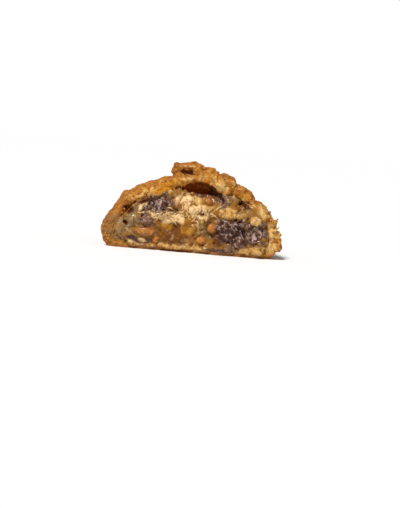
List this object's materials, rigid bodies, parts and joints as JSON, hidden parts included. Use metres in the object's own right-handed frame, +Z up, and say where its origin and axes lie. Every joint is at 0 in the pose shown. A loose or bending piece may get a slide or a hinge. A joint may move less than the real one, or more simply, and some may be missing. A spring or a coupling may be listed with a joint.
{
  "type": "broken cookie half",
  "caption": "Half of a thick domed coconut cookie broken across the middle, showing a baked crust around a moist centre with nuts, melted chocolate and an air pocket; stands on its flat base.",
  "frame": {"origin": "on the flat base, under the middle of the half cookie's bounding box", "axes": "+Z up from the base, -Y out of the broken face, +X to the right when facing the break"},
  "size_m": [0.0904, 0.0482, 0.045],
  "materials": {
    "crust": "golden brown baked crust and pale crumb, matt",
    "centre": "moist underbaked dough, half gloss",
    "nut": "toasted nut, satin",
    "chocolate": "melted dark chocolate, half gloss"
  },
  "bodies": {
    "root": {"dough_shell": "crust", "soft_centre": "centre", "nut_half": "nut", "nut_square": "nut", "nut_round": "nut", "nut_chip_top": "nut", "nut_chip_low": "nut", "chocolate_upper_left": "chocolate", "chocolate_left": "chocolate", "chocolate_right": "chocolate", "chocolate_far_right": "chocolate", "chocolate_by_pocket": "chocolate"}
  },
  "joints": []
}
